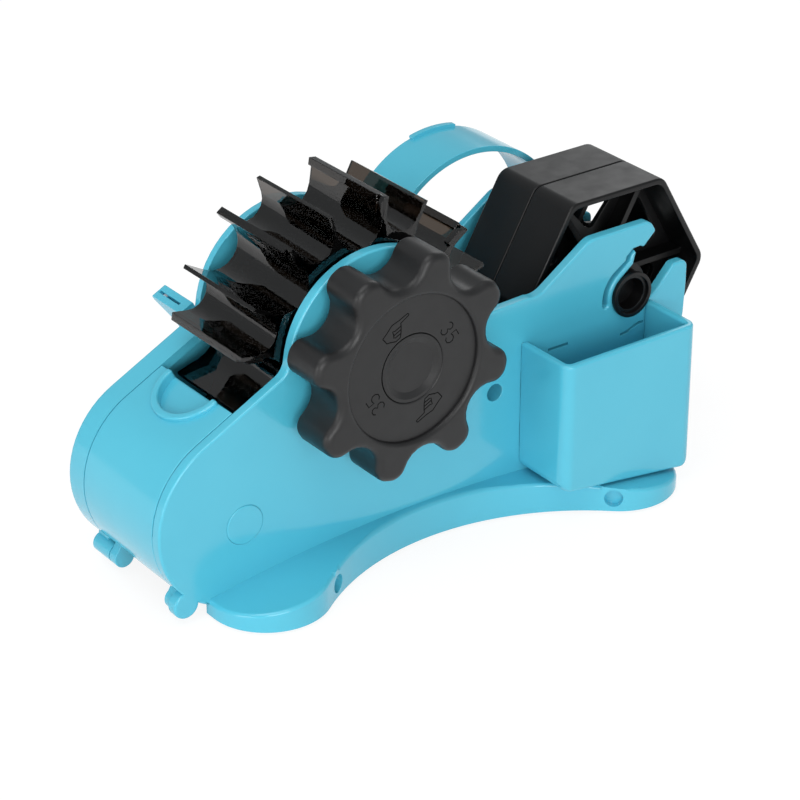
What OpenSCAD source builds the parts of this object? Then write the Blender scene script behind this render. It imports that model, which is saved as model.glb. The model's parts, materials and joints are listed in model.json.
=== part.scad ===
// Desk tape dispenser with a rotary paddle wheel that cuts tape into strips
// of one length. Two side shells carry the wheel, a pair of six-sided roll
// drums in a snap cradle, a hinged front cover, a cutter arm, a pen box and
// a round spigot for a spare roll.
// Side profiles are drawn with X (front to rear) and Z (up), measured from
// the wheel axle; place() stands the finished model on the table.

/* [Tape wheel] */
// Tape between the tips of two neighbouring fin pairs
cut_len = 35; // [31:0.5:36]
// Width of the wheel along its axle
wheel_w = 37.6; // [34:0.2:40]
// Thickness of a fin
fin_t = 1.4; // [1:0.1:1.8]
// Angle between the two fins of a pair
pair_angle = 19.2; // [18:0.2:21]
// Depth of the trough between the fins of a pair
pair_depth = 11; // [9:0.5:12]
// Depth of the trough between two pairs
stop_depth = 15.2; // [13:0.2:16]
// Wall under the troughs
wheel_wall = 2; // [1.5:0.1:3]
// Thickness of the bar along the tip of each leading fin
tip_bar_t = 2.6; // [2.2:0.1:3]
// Height of that bar
tip_bar_h = 2.5; // [1.5:0.1:3]
// Radius of the wheel shaft
shaft_r = 4; // [3:0.1:4.5]

/* [Knob] */
// Radius over the grip lobes
knob_r = 36.2; // [33:0.2:37]
// Thickness of the grip
knob_t = 15.8; // [12:0.2:18]
// Gap between the grip and the near wall
knob_gap = 4; // [3:0.1:6]
// Depth of the finger hollows between the lobes
hollow_depth = 8.9; // [8:0.1:10]
// Radius of the sunk dial on the face
dial_r = 23.4; // [20:0.1:24]
// Depth of the sunk dial
dial_depth = 1.6; // [0.8:0.1:2.4]

/* [Body] */
// Thickness of the near wall
near_wall_t = 3.5; // [2.8:0.1:4]
// Thickness of the far wall
far_wall_t = 3; // [2.4:0.1:4]
// Space beside the wheel for the index wheel
index_space = 6.2; // [6:0.1:8]
// Height of the wheel axle over the lower edge of the walls
axle_rise = 71; // [70:0.5:76]
// Radius of the round nose
nose_r = 29.5; // [28:0.5:31]
// Distance of the nose centre ahead of the axle
nose_ahead = 48.7; // [48:0.1:51]
// Slope of the top behind the nose, in degrees
slope_angle = 27; // [25:0.5:28]
// Radius of the collar round the axle
collar_r = 31.5; // [30:0.5:33]
// Depth of the rear deck below the axle
deck_drop = 1.8; // [0.5:0.1:4]
// Distance of the rear end behind the axle at the bottom edge
tail_x = 115; // [112:0.5:118]

/* [Front cover] */
// Thickness of the cover
cover_t = 3; // [2.4:0.1:3.6]
// Radius of the raised finger lip
lip_r = 13.4; // [11:0.2:15]

/* [Roll cradle] */
// Distance of the roll spindle behind the wheel axle
spindle_x = 99.9; // [98:0.1:102]
// Depth of the roll spindle below the wheel axle
spindle_drop = 11; // [9:0.5:13]
// Direction in which the spindle lifts out, in degrees
lift_angle = 38.5; // [36:0.5:41]
// Radius of the spindle
spindle_r = 7; // [6.5:0.1:7.3]
// Thickness of the springy finger beside the seat
finger_t = 2; // [1.6:0.1:2.4]
// Width of the slot behind the finger
slot_w = 2; // [1.4:0.1:2.4]

/* [Roll drums] */
// Radius of a drum over its corners
drum_r = 37.9; // [35:0.1:39]
// Width of one drum
drum_w = 18; // [15:0.1:18.4]
// Thickness of the drum rim
rim_t = 2; // [1.5:0.1:3]
// Rounding of the drum corners
drum_round = 5; // [3:0.5:7]
// Width of a spoke
spoke_w = 5.4; // [4:0.2:7]

/* [Spare roll spigot] */
// Outer radius of the spigot ring
ring_r = 37; // [35:0.5:38]
// Wall of the ring
ring_t = 2; // [1.6:0.1:3]
// Reach of the ring beyond the far wall
ring_w = 21.8; // [18:0.2:22]
// Distance of the ring centre behind the wheel axle
ring_x = 75.8; // [74:0.2:78]

/* [Feet] */
// Height of the foot flange at its crown
foot_h = 11.7; // [10:0.1:12]
// Radius of the foot lobes
lobe_r = 19.5; // [18:0.5:20.5]
// Reach of the far lobes beyond the far wall
far_reach = 22; // [20:0.5:25]
// Reach of the near front lobe beyond the near wall
front_reach = 22.3; // [20:0.1:25]
// Reach of the near rear lobe beyond the near wall
rear_reach = 29.6; // [28:0.1:31]
// Radius of the waist between the lobes
waist_r = 83.6; // [80:0.2:95]
// Height of the rubber pads below the walls
pad_h = 1; // [0.6:0.1:2]

/* [Pen box] */
// Length of the pen box
box_w = 53.6; // [50:0.1:54]
// Depth of the pen box
box_d = 22.5; // [18:0.5:24]
// Height of the pen box at its front end
box_h = 43.9; // [38:0.1:44]
// Wall of the pen box
box_wall = 2.8; // [2:0.1:3]

/* [Hidden] */
$fn = 64;

body_blue = "#6cc5dc";
soft_black = "#222326";
smoke_black = "#17181a";
steel_grey = "#b9bdc2";
rubber_grey = "#3a3a3c";

// Overrun of every cut
over = 1;
// Depth to which a rib, boss or flange runs into its wall
bite = 1.2;
// Running fit of a shaft in its bush, radial
fit = 0.05;
// Plain gap between pieces that pass each other
gap = 0.3;
// Steps of a short and of a long arc
short_steps = 8;
long_steps = 28;

// Tape wheel: every size follows the tape that spans two neighbouring pairs
pairs = 8;
pitch = 360 / pairs;
wheel_r = cut_len / (2 * sin(pitch / 2));
half_w = wheel_w / 2;
phase = 35.8;
wheel_gap = 0.7;
wheel_core_r = wheel_r - stop_depth - wheel_wall;
wheel_hub_r = 9;
wheel_web_t = 3;
wheel_end_depth = 8;
wheel_rib_t = 1.6;
end_rib_w = 2.5;
end_rib_t = 1.2;
index_r = 20;
index_t = 3.4;
index_hub_r = 7;
notch_r = 2.6;
notch_out = 0.6;

// Planes across the body
near_in = -(half_w + wheel_gap);
near_face = near_in - near_wall_t;
far_in = half_w + index_space;
far_face = far_in + far_wall_t;
mid_y = (near_face + far_face) / 2;
flange_gap = 0.5;
flange_in = half_w + flange_gap;

// Side profile
floor_z = -axle_rise;
nose = [-nose_ahead, nose_r - axle_rise];
along = [cos(slope_angle), sin(slope_angle)];
upward = [-sin(slope_angle), cos(slope_angle)];
slope_h = nose * upward + nose_r;
collar_fillet = 6;
fillet_reach = collar_r + collar_fillet;
front_fillet = upward * (slope_h + collar_fillet)
    - along * sqrt(pow(fillet_reach, 2) - pow(slope_h + collar_fillet, 2));
rear_fillet = [
    sqrt(pow(fillet_reach, 2) - pow(collar_fillet - deck_drop, 2)),
    collar_fillet - deck_drop
];
spindle = [spindle_x, -spindle_drop];
deck_end_x = 37.9;
horn_back = 17.1;
horn_top = 12.2;
horn_front = 7.7;
post_x = 24.1;
post_rise = 5.4;
post_front = 18.2;
post_cheek = 2.4;
post_foot_x = 23.5;
post_foot = 13.5;

// Cradle, in a frame turned to the lift direction
seat_r = spindle_r + 2 * fit;
finger_out = seat_r + finger_t;
slot_out = finger_out + slot_w;
finger_len = 10.2;
finger_bend = 7;
finger_hook = 1.4;
finger_flare = 0.3;
slot_sweep = 60;
horn_len = 19.8;
horn_lip = 13.2;
horn_lip_in = 1.2;
horn_lip_back = 0.6;
post_dip = 8.7;
post_dip_u = 6.9;

// Rounding of the corners along the deck, the horn and the rear post
deck_round = 8;
horn_round = 6;
horn_front_round = 4;
lip_round = 1;
lip_back_round = 0.8;
dip_round = 8;
post_round = 2.4;
cheek_round = 4;
post_foot_round = 6;

// Foot flange
front_lobe_x = 42.5;
rear_lobe_x = 88;
near_lobes = [
    [-front_lobe_x, near_face - front_reach + lobe_r],
    [rear_lobe_x, near_face - rear_reach + lobe_r]
];
// The far flange is drawn mirrored, as if it were a near one
far_lobes = [
    [-front_lobe_x, -far_face - far_reach + lobe_r],
    [rear_lobe_x, -far_face - far_reach + lobe_r]
];
foot_wall = 3;
foot_crown_x = 18;
foot_arch_r = 480;
foot_fall = 7;
front_hole_turn = 4.9;
foot_hole_r = 3;
foot_hole_rise = 4.6;
pad_r = 6;
pad_seat = 0.8;
pad_out = 6;

// Screws: A joins the shells from the near side, the others from the far side
screw_r = 1.5;
head_r = 2.6;
head_h = 1.8;
flat_head_h = 1;
boss_r = 5;
boss_floor = 2;
shell_screw_len = 13;
mid_boss = [45.5, -29.8];
boss_lift = 13.5;
front_boss = [-20, floor_z + boss_lift];
rear_boss = [95, floor_z + boss_lift];

// Base plate
base_t = 2.6;
base_front = 56;
base_rear = 110;
base_head_h = 1.3;
base_screw_len = 8;
post_r = 4.2;
post_in = 3.4;
post_h = 10;
base_posts_x = [-34, 72];

// Hinge of the front cover
hinge_r = 4.3;
knuckle_r = 3.4;
knuckle_w = 3.4;
hinge_pin_r = 1.6;
hinge_pin_len = 2.2;
hinge_back = 20.8;
hinge_rise = 5.6;
lug_top = 110;
lug_low = -30;
hinge = [nose[0] - hinge_back, floor_z + hinge_rise];
cover_end = 222;
flange_end = 240;
window_front = 49.2;
window_t = (-window_front - slope_h * upward[0]) / along[0];
far_knuckle_y = 12;
lip_w = 2.4;
lip_h = 1.4;
lip_inset = 0.4;
dish_depth = 1.5;
lip_y = 1.2;

// Cutter arm: the blade stands on a radius of the wheel, just clear of it
arm_pivot = nose + [0.4, -3.3];
arm_pin_r = 2.5;
arm_tube_r = 5.4;
arm_half = 17.4;
arm_leg_t = 4;
leg_side = 165;
blade_ahead = 14.43;
blade_angle = angle_of(nose) - blade_ahead;
blade_clear = 1.3;
blade_len = 9;
blade_t = 0.6;
blade_half = 17;
blade_bare = 2.6;
holder_t = 3;
holder_tail = 1;
blade_edge = (wheel_r + blade_clear) * [cos(blade_angle), sin(blade_angle)];
cap_r = 6.4;
cap_t = 1.2;
cap_seat = 1;
pin_end_t = 1;
coil_r = 4.4;
coil_w = 5;

// Bushes and index spring
bush_r = 6.5;
bush_flange_r = 9;
bush_flange_t = 2;
far_flange_t = 0.8;
bush_end_t = 0.8;
leaf_t = 0.8;
leaf_nose_r = 2.2;
leaf_back = 18;
leaf_front = 8;
leaf_post_r = 2.6;
leaf_eye_t = 1.1;
leaf_post = [-leaf_back, -index_r - leaf_post_r - leaf_eye_t];

// Knob
knob_back = near_face - knob_gap;
knob_front = knob_back - knob_t;
dial_y = knob_front + dial_depth;
hollow_r = 8;
lobe_round = 5;
knob_phase = 7.5;
knob_wall = 4;
knob_hub_r = 9;
knob_rim_r = 24;
cap_well_r = 11;
cap_well = 3.2;
knob_cap_r = 8.6;
knob_cap_t = 1.2;
knob_cap_wall = 1.4;
knob_web = 2;
knob_screw_len = 12;

// Spindle and drums
tube_t = 1.3;
end_flange = 0.7;
end_flange_t = 1.2;
end_dish = 0.6;
plug_len = 6;
plug_wall = 1;
hub_t = 2.3;
seam = 0.3;
drum_sides = 6;
drum_step = 360 / drum_sides;
web_in = 13.5;
web_t = 1.8;
window_round = 2.6;
window_hub = 14;
spoke_rib_t = 2;
spoke_rib_in = 8;

// Spare roll ring
ring_drop = 9.5;
ring_c = [ring_x, -ring_drop];
catch_h = 1.2;
catch_w = 2.2;
catch_from = 78;
catch_to = 105;
ear_angles = [215, 262, 309];
ear_r = 4.6;
ear_in = 6;
ear_t = 3;
ear_centres = [for (a = ear_angles) ring_c + (ring_r - ear_in) * dir(a)];
ring_screw_len = 6.6;
ring_boss_r = 3.4;
ring_boss_h = 1;

// Bracket for the strip blade of the spare roll
tab_c = [-35, 3.3];
tab_w = 5.4;
tab_out = 15;
tab_t = 1.8;
tab_neck = 8.3;
tab_neck_drop = 6.6;
tab_root = 5;
tab_root_drop = 13;
tab_slot_w = 0.8;
tab_slot_d = 3;
tab_slot_in = 2.5;
tab_slot_end = 1;
tab_tip_round = 0.8;
tab_neck_round = 2;
tab_root_round = 2.5;

// Pen box
box_behind = 9.3;
box_x = spindle_x + box_behind - box_w;
box_rim = 15.5;
box_fall = 7.6;
box_round = 4;
box_seat = 0.2;
tongue_t = 2;
tongue_h = 8;
tongue_drop = [10, 28];
tongue_end = 0.9;
wall_slot_w = 1;
wall_slot = [66.5, 74.7];
wall_slot_drop = 21.8;
// Wavy slot below the cradle: run and rise as shares of the seat radius
wave_shares = [[-0.5, -2.0], [-0.12, -1.96], [0.22, -1.8], [0.56, -1.7], [0.86, -1.7]];

// Whole size, used to centre the model
total_x0 = -nose_ahead - nose_r;
total_x1 = spindle_x + drum_r - drum_round * (1 / cos(drum_step / 2) - 1);
total_y0 = near_face - rear_reach;
total_y1 = far_face + far_reach;

function dir(a) = [cos(a), sin(a)];
function unit(v) = v / norm(v);
function turn(p, a) = [p[0] * cos(a) - p[1] * sin(a), p[0] * sin(a) + p[1] * cos(a)];
function angle_of(v) = atan2(v[1], v[0]);
function wrap(a) = a > 180 ? a - 360 : (a < -180 ? a + 360 : a);
function arc(c, r, a0, a1, steps = long_steps) =
    [for (i = [0:steps]) c + r * dir(a0 + (a1 - a0) * i / steps)];

// Corner b of an outline, rounded to radius r between its neighbours a and c
function corner(a, b, c, r) =
    let (
        u = unit(a - b),
        v = unit(c - b),
        half = acos(u * v) / 2,
        mid = b + unit(u + v) * r / sin(half),
        a0 = angle_of(b + u * r / tan(half) - mid),
        a1 = angle_of(b + v * r / tan(half) - mid)
    )
    arc(mid, r, a0, a0 + wrap(a1 - a0), short_steps);

// Closed outline from [point, radius] pairs, radius 0 for a sharp corner
function rounded(list) =
    [for (i = [0:len(list) - 1])
        let (
            n = len(list),
            a = list[(i + n - 1) % n][0],
            b = list[i][0],
            c = list[(i + 1) % n][0]
        )
        each list[i][1] == 0 ? [b] : corner(a, b, c, list[i][1])];

// The corners of an open path, rounded the same way, its two ends left out
function rounded_path(list) =
    [for (i = [1:len(list) - 2])
        each list[i][1] == 0
            ? [list[i][0]]
            : corner(list[i - 1][0], list[i][0], list[i + 1][0], list[i][1])];

// Point of the cradle frame: u out along the lift, v to its upper left
function cradle(u, v) = spindle + turn([u, v], lift_angle);

module place() {
    translate([-(total_x0 + total_x1) / 2, -(total_y0 + total_y1) / 2, axle_rise + pad_h])
        children();
}

// Side profile raised into a plate between two planes across the body
module slab(y0, y1) {
    translate([0, y1, 0]) rotate([90, 0, 0]) linear_extrude(y1 - y0) children();
}

module rod(c, r, y0, y1) {
    slab(y0, y1) translate(c) circle(r);
}

module tube(c, r, bore, y0, y1) {
    slab(y0, y1) translate(c) difference() {
        circle(r);
        circle(bore);
    }
}

// Screw along Y: head outward at y0, shank running len towards +Y or -Y
module screw(c, y0, len, side, cap_h = head_h) {
    tip = y0 + side * len;
    cap = y0 - side * cap_h;
    rod(c, screw_r, min(y0, tip), max(y0, tip));
    rod(c, head_r, min(y0, cap), max(y0, cap));
}

// Outline of both side walls: nose, slope, collar, deck, horn, cradle, post
function horn_path() = rounded_path([
    [rear_fillet, 0],
    [[spindle_x - deck_end_x, -deck_drop], deck_round],
    [[spindle_x - horn_back, horn_top], horn_round],
    [[spindle_x + horn_front, horn_top], horn_front_round],
    [cradle(horn_len, finger_out - finger_flare), lip_round],
    [cradle(horn_lip, seat_r + horn_lip_in), lip_back_round],
    [cradle(horn_lip - horn_lip_back, finger_out + horn_lip_back), lip_back_round],
    [cradle(finger_len, slot_out + finger_flare), 0]
]);

function slot_path() = concat(
    [
        cradle(finger_len, slot_out + finger_flare),
        cradle(finger_bend, slot_out + finger_flare),
        cradle(finger_bend - finger_hook, slot_out - 2 * finger_flare)
    ],
    arc(spindle, slot_out, lift_angle + 90, lift_angle + 90 + slot_sweep),
    arc(
        spindle + (finger_out + slot_w / 2) * dir(lift_angle + 90 + slot_sweep),
        slot_w / 2,
        lift_angle + 90 + slot_sweep,
        lift_angle + 270 + slot_sweep,
        short_steps
    ),
    arc(spindle, finger_out, lift_angle + 90 + slot_sweep, lift_angle + 90),
    [
        cradle(finger_bend - finger_flare, finger_out),
        cradle(finger_bend + finger_hook, finger_out + finger_hook - finger_flare),
        cradle(finger_len, finger_out + finger_hook),
        cradle(finger_len, finger_out + finger_flare),
        cradle(finger_len - finger_hook, seat_r + finger_hook),
        cradle(finger_bend, seat_r),
        cradle(0, seat_r)
    ]
);

function post_path() = rounded_path([
    [cradle(0, seat_r), 0],
    [cradle(0, -seat_r), 0],
    [cradle(post_dip_u, -post_dip), dip_round],
    [spindle + [post_front, post_rise], post_round],
    [spindle + [post_x, post_rise], post_round],
    [spindle + [post_x, -post_cheek], cheek_round],
    [spindle + [post_foot_x, -post_foot], post_foot_round],
    [[tail_x, floor_z], 0]
]);

module wall_profile() {
    polygon(concat(
        arc(nose, nose_r, 270, 90 + slope_angle),
        arc(front_fillet, collar_fillet, slope_angle - 90, angle_of(-front_fillet), short_steps),
        arc([0, 0], collar_r, angle_of(front_fillet), angle_of(rear_fillet)),
        arc(rear_fillet, collar_fillet, 180 + angle_of(rear_fillet), 270, short_steps),
        horn_path(),
        slot_path(),
        post_path(),
        [[tail_x, floor_z]]
    ));
}

// Shell of the front cover and of the wide flange: a band that follows the
// nose from the point t on the slope round to the angle end
module nose_band(t, end) {
    polygon(concat(
        [upward * slope_h + along * t],
        arc(nose, nose_r, 90 + slope_angle, end),
        arc(nose, nose_r - cover_t, end, 90 + slope_angle),
        [upward * (slope_h - cover_t) + along * t]
    ));
}

// Plan of the foot flange beside the near wall, drawn in X and Y
function waist_centre(lobes) =
    let (
        mid = (lobes[0] + lobes[1]) / 2,
        half = norm(lobes[1] - lobes[0]) / 2,
        n = turn(unit(lobes[1] - lobes[0]), -90)
    )
    mid + n * sqrt(pow(waist_r + lobe_r, 2) - half * half);

// The outline runs on behind the wall and is cut off at the given edge
module foot_plan(lobes, edge, inset) {
    r = lobe_r - inset;
    w = waist_centre(lobes);
    a = lobes[0];
    b = lobes[1];
    intersection() {
        polygon(concat(
            [[a[0] - r, edge + lobe_r]],
            arc(a, r, 180, 360 + angle_of(w - a)),
            arc(w, waist_r + inset, angle_of(a - w), angle_of(b - w)),
            arc(b, r, 360 + angle_of(w - b), 360),
            [[b[0] + r, edge + lobe_r]]
        ));
        translate([-tail_x, edge - tail_x]) square([2 * tail_x, tail_x]);
    }
}

// Top of the flange: arched along X, falling outwards along Y
module foot_space(face, drop) {
    crown = floor_z + foot_h - drop;
    reach = tail_x + nose_ahead + nose_r;
    intersection() {
        slab(face - far_reach - rear_reach, face + bite) intersection() {
            translate([foot_crown_x, crown - foot_arch_r]) circle(foot_arch_r, $fn = 240);
            translate([-reach, floor_z - 2 * over]) square([2 * reach, foot_h + 3 * over]);
        }
        translate([0, face, crown])
            rotate([foot_fall, 0, 0])
            translate([-reach, -reach, -reach])
            cube([2 * reach, 2 * reach, reach]);
    }
}

module foot_flange(lobes, face) {
    w = waist_centre(lobes);
    hole_at = [angle_of(lobes[0] - w) - front_hole_turn, angle_of(lobes[1] - w)];
    difference() {
        intersection() {
            translate([0, 0, floor_z]) linear_extrude(foot_h + over)
                foot_plan(lobes, face + bite, 0);
            foot_space(face, 0);
        }
        intersection() {
            translate([0, 0, floor_z - over]) linear_extrude(foot_h + over)
                foot_plan(lobes, face, foot_wall);
            foot_space(face, foot_wall);
        }
        for (a = hole_at)
            translate([w[0], w[1], floor_z + foot_hole_rise])
                rotate([0, 90, a])
                cylinder(h = waist_r + foot_wall + over, r = foot_hole_r);
    }
    intersection() {
        for (c = lobes)
            translate([c[0], c[1] - pad_out, floor_z + pad_seat]) cylinder(h = foot_h, r = pad_r);
        foot_space(face, foot_wall - bite);
    }
}

// Posts that carry the base plate, standing on the inner face of a wall
module base_posts(y) {
    for (x = base_posts_x)
        translate([x, y, floor_z + base_t]) difference() {
            cylinder(h = post_h, r = post_r);
            translate([0, 0, -over])
                cylinder(h = base_screw_len - base_t + base_head_h + over, r = screw_r);
        }
}

module near_shell() {
    color(body_blue) place() difference() {
        union() {
            slab(near_face, near_in) {
                wall_profile();
                translate(hinge) circle(hinge_r);
            }
            foot_flange(near_lobes, near_face);
            for (c = [mid_boss, front_boss, rear_boss]) rod(c, boss_r, near_in - bite, mid_y);
            base_posts(near_in + post_in);
        }
        rod(spindle, seat_r, near_face - over, near_in + over);
        rod([0, 0], bush_r, near_face - over, near_in + over);
        rod(mid_boss, head_r + gap, near_face - over, mid_y - boss_floor);
        rod(mid_boss, screw_r + gap, near_face, mid_y + over);
        for (c = [front_boss, rear_boss])
            rod(c, screw_r, mid_y + boss_floor - shell_screw_len, mid_y + over);
        rod(hinge, hinge_pin_r + fit, near_in - hinge_pin_len - 2 * gap, near_in + over);
        rod(arm_pivot, cap_r + fit, near_face - over, near_face + cap_seat);
        rod(arm_pivot, arm_pin_r, near_face, near_in + over);
        slab(near_face - over, near_in + over) {
            translate([wall_slot[0], -wall_slot_drop])
                square([wall_slot[1] - wall_slot[0], wall_slot_w]);
            polygon(concat(
                [for (p = wave_shares) spindle + p * seat_r],
                [for (i = [len(wave_shares) - 1:-1:0])
                    spindle + wave_shares[i] * seat_r + [0, wall_slot_w]]
            ));
        }
        for (x = [box_x, box_x + box_w - box_wall])
            for (drop = tongue_drop)
                translate([x, 0, -box_rim - drop])
                    slab(near_face - over, near_in + over)
                    translate([(box_wall - tongue_t) / 2 - gap, -tongue_h - gap])
                    square([tongue_t + 2 * gap, tongue_h + 2 * gap]);
    }
}

module far_shell() {
    color(body_blue) place() difference() {
        union() {
            slab(far_in, far_face) wall_profile();
            slab(flange_in, far_in + bite) nose_band(front_fillet * along, flange_end);
            mirror([0, 1, 0]) foot_flange(far_lobes, -far_face);
            for (c = [mid_boss, front_boss, rear_boss]) rod(c, boss_r, mid_y, far_in + bite);
            base_posts(far_in - post_in);
            for (c = ear_centres) rod(c, ring_boss_r, far_in - ring_boss_h, far_in + bite);
            rod(leaf_post, leaf_post_r, far_in - index_t - 2 * fit, far_in + bite);
            far_lug();
            strip_tab();
        }
        rod(spindle, seat_r, far_in - over, far_face + over);
        rod([0, 0], bush_r, far_in - over, far_face + over);
        rod(mid_boss, screw_r, mid_y - over, mid_y + shell_screw_len - boss_floor);
        for (c = [front_boss, rear_boss]) {
            rod(c, head_r + gap, mid_y + boss_floor, far_face + over);
            rod(c, screw_r + gap, mid_y - over, far_face);
        }
        rod(hinge, hinge_pin_r + fit, half_w - knuckle_w, flange_in + hinge_pin_len);
        rod(arm_pivot, arm_pin_r, far_in - over, far_face - pin_end_t);
        for (c = ear_centres) rod(c, screw_r, far_in - ring_boss_h - over, far_face + over);
    }
}

// Lug of the far shell beside the far knuckle of the cover
module far_lug() {
    slab(far_knuckle_y + knuckle_w + gap, flange_in) translate(hinge) circle(knuckle_r);
    slab(flange_in, far_in) {
        translate(hinge) circle(knuckle_r);
        polygon([
            hinge + knuckle_r * dir(lug_top),
            nose + nose_r * dir(cover_end),
            nose + (nose_r - cover_t) * dir(cover_end),
            nose + (nose_r - cover_t) * dir(flange_end),
            hinge + knuckle_r * dir(lug_low)
        ]);
    }
}

// Bracket outside the far wall with the slot for a strip blade
module strip_tab() {
    translate([tab_c[0], 0, tab_c[1]]) rotate([0, -slope_angle, 0]) difference() {
        translate([-tab_w / 2, 0, 0]) rotate([90, 0, 90]) linear_extrude(tab_w)
            polygon(concat(
                [[far_face - bite, 0]],
                rounded_path([
                    [[far_face - bite, 0], 0],
                    [[far_face + tab_out, 0], tab_tip_round],
                    [[far_face + tab_out, -tab_t], tab_tip_round],
                    [[far_face + tab_neck, -tab_neck_drop], tab_neck_round],
                    [[far_face + tab_root, -tab_root_drop], tab_root_round],
                    [[far_face - bite, -tab_root_drop], 0]
                ]),
                [[far_face - bite, -tab_root_drop]]
            ));
        translate([-tab_slot_w / 2, far_face + tab_slot_in, -tab_slot_d])
            cube([tab_slot_w, tab_out - tab_slot_in - tab_slot_end, tab_slot_d + over]);
    }
}

module base_plate() {
    color(body_blue) place() difference() {
        translate([-base_front, near_in + gap, floor_z])
            cube([base_front + base_rear, far_in - near_in - 2 * gap, base_t]);
        for (x = base_posts_x)
            for (y = [near_in + post_in, far_in - post_in])
                translate([x, y, floor_z - over]) {
                    cylinder(h = base_t + 2 * over, r = screw_r + fit);
                    cylinder(h = base_head_h + over, r = head_r + gap);
                }
    }
}

module base_screws() {
    color(steel_grey) place()
        for (x = base_posts_x)
            for (y = [near_in + post_in, far_in - post_in])
                translate([x, y, floor_z]) {
                    cylinder(h = base_head_h, r = head_r);
                    cylinder(h = base_screw_len, r = screw_r);
                }
}

module shell_screws() {
    color(steel_grey) place() {
        screw(mid_boss, mid_y - boss_floor, shell_screw_len, 1);
        for (c = [front_boss, rear_boss]) screw(c, mid_y + boss_floor, shell_screw_len, -1);
    }
}

module rubber_feet() {
    color(rubber_grey) place() for (side = [-1, 1])
        for (c = side < 0 ? near_lobes : far_lobes)
            translate([c[0], -side * (c[1] - pad_out), floor_z - pad_h])
                cylinder(h = pad_h + pad_seat, r = pad_r);
}

module near_bush() {
    color(soft_black) place() {
        tube([0, 0], bush_r, shaft_r + fit, near_face, near_in);
        tube([0, 0], bush_flange_r, shaft_r + fit, near_face - bush_flange_t, near_face);
    }
}

module far_bush() {
    color(soft_black) place() {
        tube([0, 0], bush_r, shaft_r + fit, far_in, far_face - bush_end_t);
        tube([0, 0], bush_flange_r, shaft_r + fit, far_in - far_flange_t, far_in);
        rod([0, 0], bush_r, far_face - bush_end_t, far_face);
    }
}

// Knuckle of the cover with its pin; side is the direction of the pin
module knuckle(y0, side) {
    pin_y = side < 0 ? y0 - hinge_pin_len : y0 + knuckle_w;
    slab(y0, y0 + knuckle_w) {
        translate(hinge) circle(knuckle_r);
        polygon([
            nose + nose_r * dir(cover_end),
            nose + (nose_r - cover_t) * dir(cover_end),
            hinge + knuckle_r * dir(10),
            hinge + knuckle_r * dir(170)
        ]);
    }
    rod(hinge, hinge_pin_r, pin_y - fit, pin_y + hinge_pin_len + fit);
}

module front_cover() {
    edge = upward * slope_h + along * window_t;
    color(body_blue) place() {
        difference() {
            slab(near_in + gap, flange_in - gap) nose_band(window_t, cover_end);
            translate([edge[0], lip_y, edge[1]]) rotate([0, -slope_angle, 0])
                translate([-lip_inset, 0, -dish_depth])
                cylinder(h = dish_depth + over, r = lip_r - lip_w);
        }
        translate([edge[0], lip_y, edge[1]]) rotate([0, -slope_angle, 0])
            intersection() {
                translate([-lip_inset, 0, -dish_depth]) difference() {
                    cylinder(h = dish_depth + lip_h, r = lip_r);
                    translate([0, 0, -over])
                        cylinder(h = dish_depth + lip_h + 2 * over, r = lip_r - lip_w);
                }
                translate([-2 * lip_r, -2 * lip_r, -lip_r]) cube([2 * lip_r, 4 * lip_r, 2 * lip_r]);
            }
        knuckle(near_in + gap, -1);
        knuckle(far_knuckle_y, 1);
    }
}

module pivot_cap() {
    color(body_blue) place()
        rod(arm_pivot, cap_r, near_face + cap_seat - cap_t, near_face + cap_seat);
}

module arm_pivot_pin() {
    color(steel_grey) place()
        rod(arm_pivot, arm_pin_r, near_face + cap_seat, far_face - pin_end_t);
}

// Point beside the blade: out along the wheel radius, then down past it
function beside(out, down) = blade_edge + turn([out, -down], blade_angle);

module arm_leg(y0) {
    slab(y0, y0 + arm_leg_t) {
        translate(arm_pivot) circle(arm_tube_r);
        polygon([
            beside(blade_bare, -blade_t / 2),
            beside(blade_len + holder_tail, -blade_t / 2),
            arm_pivot + arm_tube_r * dir(leg_side),
            arm_pivot + arm_tube_r * dir(leg_side - 180)
        ]);
    }
}

module cutter_arm() {
    color(soft_black) place() difference() {
        union() {
            arm_leg(-arm_half);
            arm_leg(arm_half - arm_leg_t);
            rod(arm_pivot, arm_tube_r, -arm_half, arm_half);
            slab(-arm_half, arm_half) polygon([
                beside(blade_bare, -blade_t / 2),
                beside(blade_len + holder_tail, -blade_t / 2),
                beside(blade_len + holder_tail, -blade_t / 2 - holder_t),
                beside(blade_bare, -blade_t / 2 - holder_t)
            ]);
        }
        rod(arm_pivot, arm_pin_r + fit, -arm_half - over, arm_half + over);
        blade_holes(screw_r, holder_t + 2 * over);
    }
}

// Pair of holes through blade and holder, square to the blade
module blade_holes(r, depth) {
    for (y = [-blade_half / 2, blade_half / 2])
        translate([blade_edge[0], y, blade_edge[1]])
            rotate([0, -blade_angle, 0])
            translate([(blade_bare + blade_len) / 2, 0, -blade_t])
            cylinder(h = depth, r = r);
}

module cutter_blade() {
    color(steel_grey) place() difference() {
        slab(-blade_half, blade_half) polygon([
            beside(0, 0),
            beside(blade_bare / 2, -blade_t / 2),
            beside(blade_len, -blade_t / 2),
            beside(blade_len, blade_t / 2),
            beside(blade_bare / 2, blade_t / 2)
        ]);
        blade_holes(screw_r, holder_t);
    }
}

module blade_screws() {
    color(steel_grey) place()
        for (y = [-blade_half / 2, blade_half / 2])
            translate([blade_edge[0], y, blade_edge[1]])
                rotate([0, -blade_angle, 0])
                translate([(blade_bare + blade_len) / 2, 0, -blade_t / 2]) {
                    cylinder(h = holder_t, r = screw_r);
                    translate([0, 0, -flat_head_h]) cylinder(h = flat_head_h, r = head_r);
                }
}

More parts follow.
